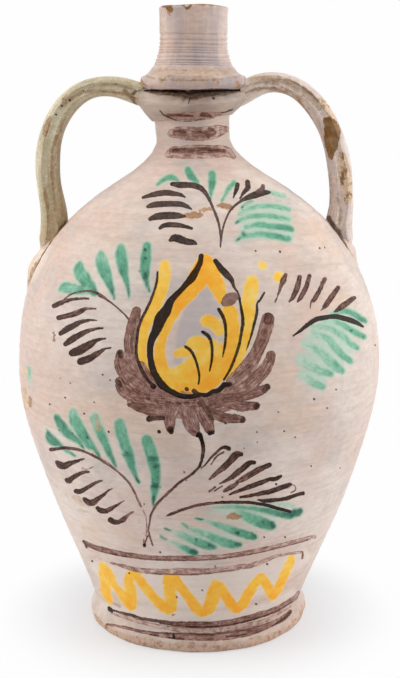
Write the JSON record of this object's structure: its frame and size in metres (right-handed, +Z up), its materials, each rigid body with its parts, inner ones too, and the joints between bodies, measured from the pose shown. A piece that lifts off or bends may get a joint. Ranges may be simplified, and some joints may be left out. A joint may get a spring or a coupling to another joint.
{
  "type": "two-handled oil jar",
  "caption": "Tall tin-glazed earthenware oil jar: round belly on a foot ring, narrow neck, ridged pouring spout with a collar, and two arched strap handles down to the shoulder.",
  "frame": {"origin": "on the floor, on the axis of the belly, which is the middle of the bounding box's bottom", "axes": "+Z up through the mouth; the handles lie along X, the grey-olive one on -X; the painted front faces -Y"},
  "size_m": [0.2772, 0.2768, 0.47],
  "materials": {
    "cream_tin_glaze": "worn satin tin glaze with brushed oxide painting",
    "cream_tin_glaze_upper": "worn satin tin glaze, a little warmer",
    "peach_tin_glaze": "thin tin glaze with the clay showing through",
    "olive_grey_glaze": "tin glaze that fired to grey-olive",
    "pink_grey_glaze": "worn tin glaze over pinkish clay",
    "thin_glaze_over_clay": "fired clay, half covered by a thin glaze"
  },
  "bodies": {
    "root": {"foot_ring": "thin_glaze_over_clay", "lower_body": "cream_tin_glaze", "upper_body": "cream_tin_glaze_upper", "neck": "cream_tin_glaze_upper", "spout": "peach_tin_glaze", "neck_band": "cream_tin_glaze", "handle_left": "olive_grey_glaze", "handle_right": "pink_grey_glaze", "tail_pad_left": "peach_tin_glaze", "tail_pad_right": "cream_tin_glaze"}
  },
  "joints": []
}
